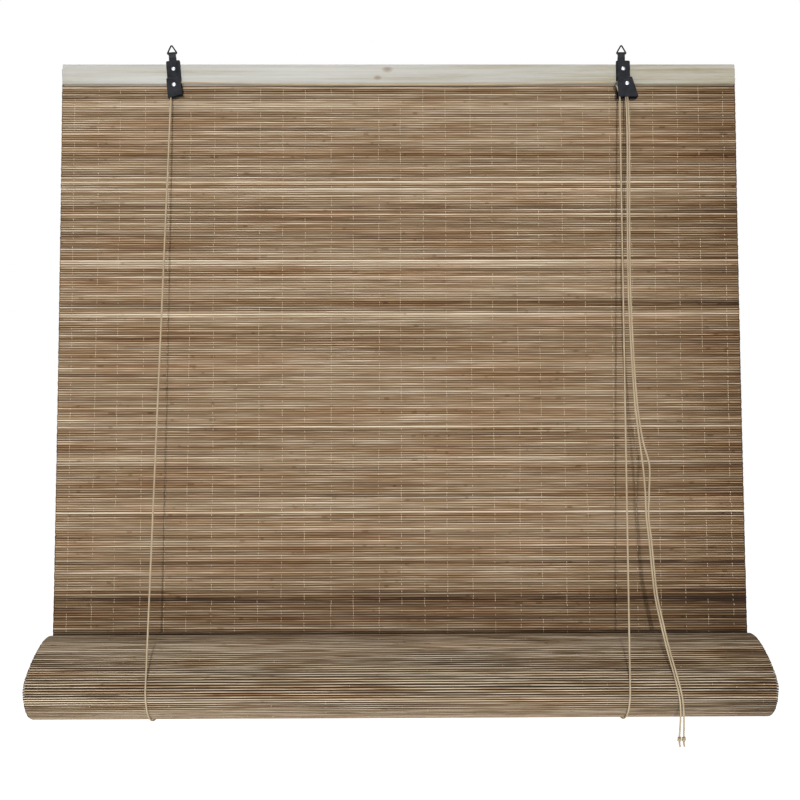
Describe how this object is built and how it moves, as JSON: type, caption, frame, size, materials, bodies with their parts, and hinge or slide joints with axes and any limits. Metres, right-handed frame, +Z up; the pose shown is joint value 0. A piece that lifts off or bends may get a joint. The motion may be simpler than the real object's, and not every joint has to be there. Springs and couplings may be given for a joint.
{
  "type": "bamboo roll up blind",
  "caption": "Woven bamboo slat blind, half rolled up, on a wooden headrail with two hanging rings, pulleys, a cord lock and pull cords.",
  "frame": {"origin": "middle of the headrail's top face", "axes": "+X along the headrail to the viewer's right, -Y towards the room, +Z up"},
  "size_m": [0.9, 0.1065, 0.881],
  "materials": {
    "pine": "planed pale pine",
    "bamboo": "stained bamboo slats",
    "bamboo_back": "stained bamboo slats, back face",
    "black_steel": "black painted sheet steel and wire",
    "bright_steel": "zinc plated steel",
    "pulley_plastic": "black moulded plastic",
    "cord": "twisted tan cord"
  },
  "bodies": {
    "headrail": {"headrail": "pine", "mat_hanging": "bamboo", "left_bracket": "black_steel", "right_bracket": "black_steel", "left_fixing_screw": "bright_steel", "right_fixing_screw": "bright_steel", "left_axle_rivet": "bright_steel", "lock_axle_pin": "black_steel", "lock_cam_rivet": "bright_steel", "mat_staples": "bright_steel", "cord_staples": "bright_steel", "left_lift_cord": "cord", "right_lift_cord": "cord", "cross_cord": "cord", "pull_cord_rear": "cord", "pull_cord_front": "cord"},
    "roll": {"mat_roll": "bamboo_back", "bottom_rail": "pine"},
    "pull_ends": {"rear_end_knot": "cord", "front_end_knot": "cord"},
    "left_pulley": {"left_pulley": "pulley_plastic"},
    "lock_pulley_rear": {"lock_pulley_rear": "pulley_plastic"},
    "lock_pulley_front": {"lock_pulley_front": "pulley_plastic"},
    "lock_cam": {"lock_cam": "bright_steel"},
    "left_ring": {"left_ring": "black_steel"},
    "right_ring": {"right_ring": "black_steel"}
  },
  "joints": [
    {"name": "roll_lift", "type": "slide", "parent": "headrail", "child": "roll", "axis": [0, 0, 1], "range_m": [-0.25, 0.6], "deforming": ["mat_hanging", "left_lift_cord", "right_lift_cord"]},
    {"name": "cord_pull", "type": "slide", "parent": "headrail", "child": "pull_ends", "axis": [0, 0, 1], "range_m": [-1.2, 0.5], "deforming": ["pull_cord_rear", "pull_cord_front"]},
    {"name": "left_pulley_spin", "type": "hinge", "parent": "headrail", "child": "left_pulley", "pos_m": [-0.297, -0.008, -0.02991], "axis": [0, 1, 0], "continuous": true},
    {"name": "lock_pulley_rear_spin", "type": "hinge", "parent": "headrail", "child": "lock_pulley_rear", "pos_m": [0.2905, -0.008, -0.03], "axis": [0, 1, 0], "continuous": true},
    {"name": "lock_pulley_front_spin", "type": "hinge", "parent": "headrail", "child": "lock_pulley_front", "pos_m": [0.2905, -0.0123, -0.03], "axis": [0, 1, 0], "continuous": true},
    {"name": "lock_cam_release", "type": "hinge", "parent": "headrail", "child": "lock_cam", "pos_m": [0.2996, -0.01015, -0.03], "axis": [0, 1, 0], "range_deg": [0, 35]},
    {"name": "left_ring_swing", "type": "hinge", "parent": "headrail", "child": "left_ring", "pos_m": [-0.30074, -0.00671, 0.01292], "axis": [0.9962, 0, 0.0872], "range_deg": [-100, 100]},
    {"name": "right_ring_swing", "type": "hinge", "parent": "headrail", "child": "right_ring", "pos_m": [0.2947, -0.00671, 0.013], "axis": [1, 0, 0], "range_deg": [-100, 100]}
  ],
  "couplings": [
    {"joint": "cord_pull", "follows": "roll_lift", "ratio": -2},
    {"joint": "left_pulley_spin", "follows": "roll_lift", "rad_per_m": 454.55},
    {"joint": "lock_pulley_rear_spin", "follows": "roll_lift", "rad_per_m": 454.55},
    {"joint": "lock_pulley_front_spin", "follows": "roll_lift", "rad_per_m": 454.55}
  ]
}
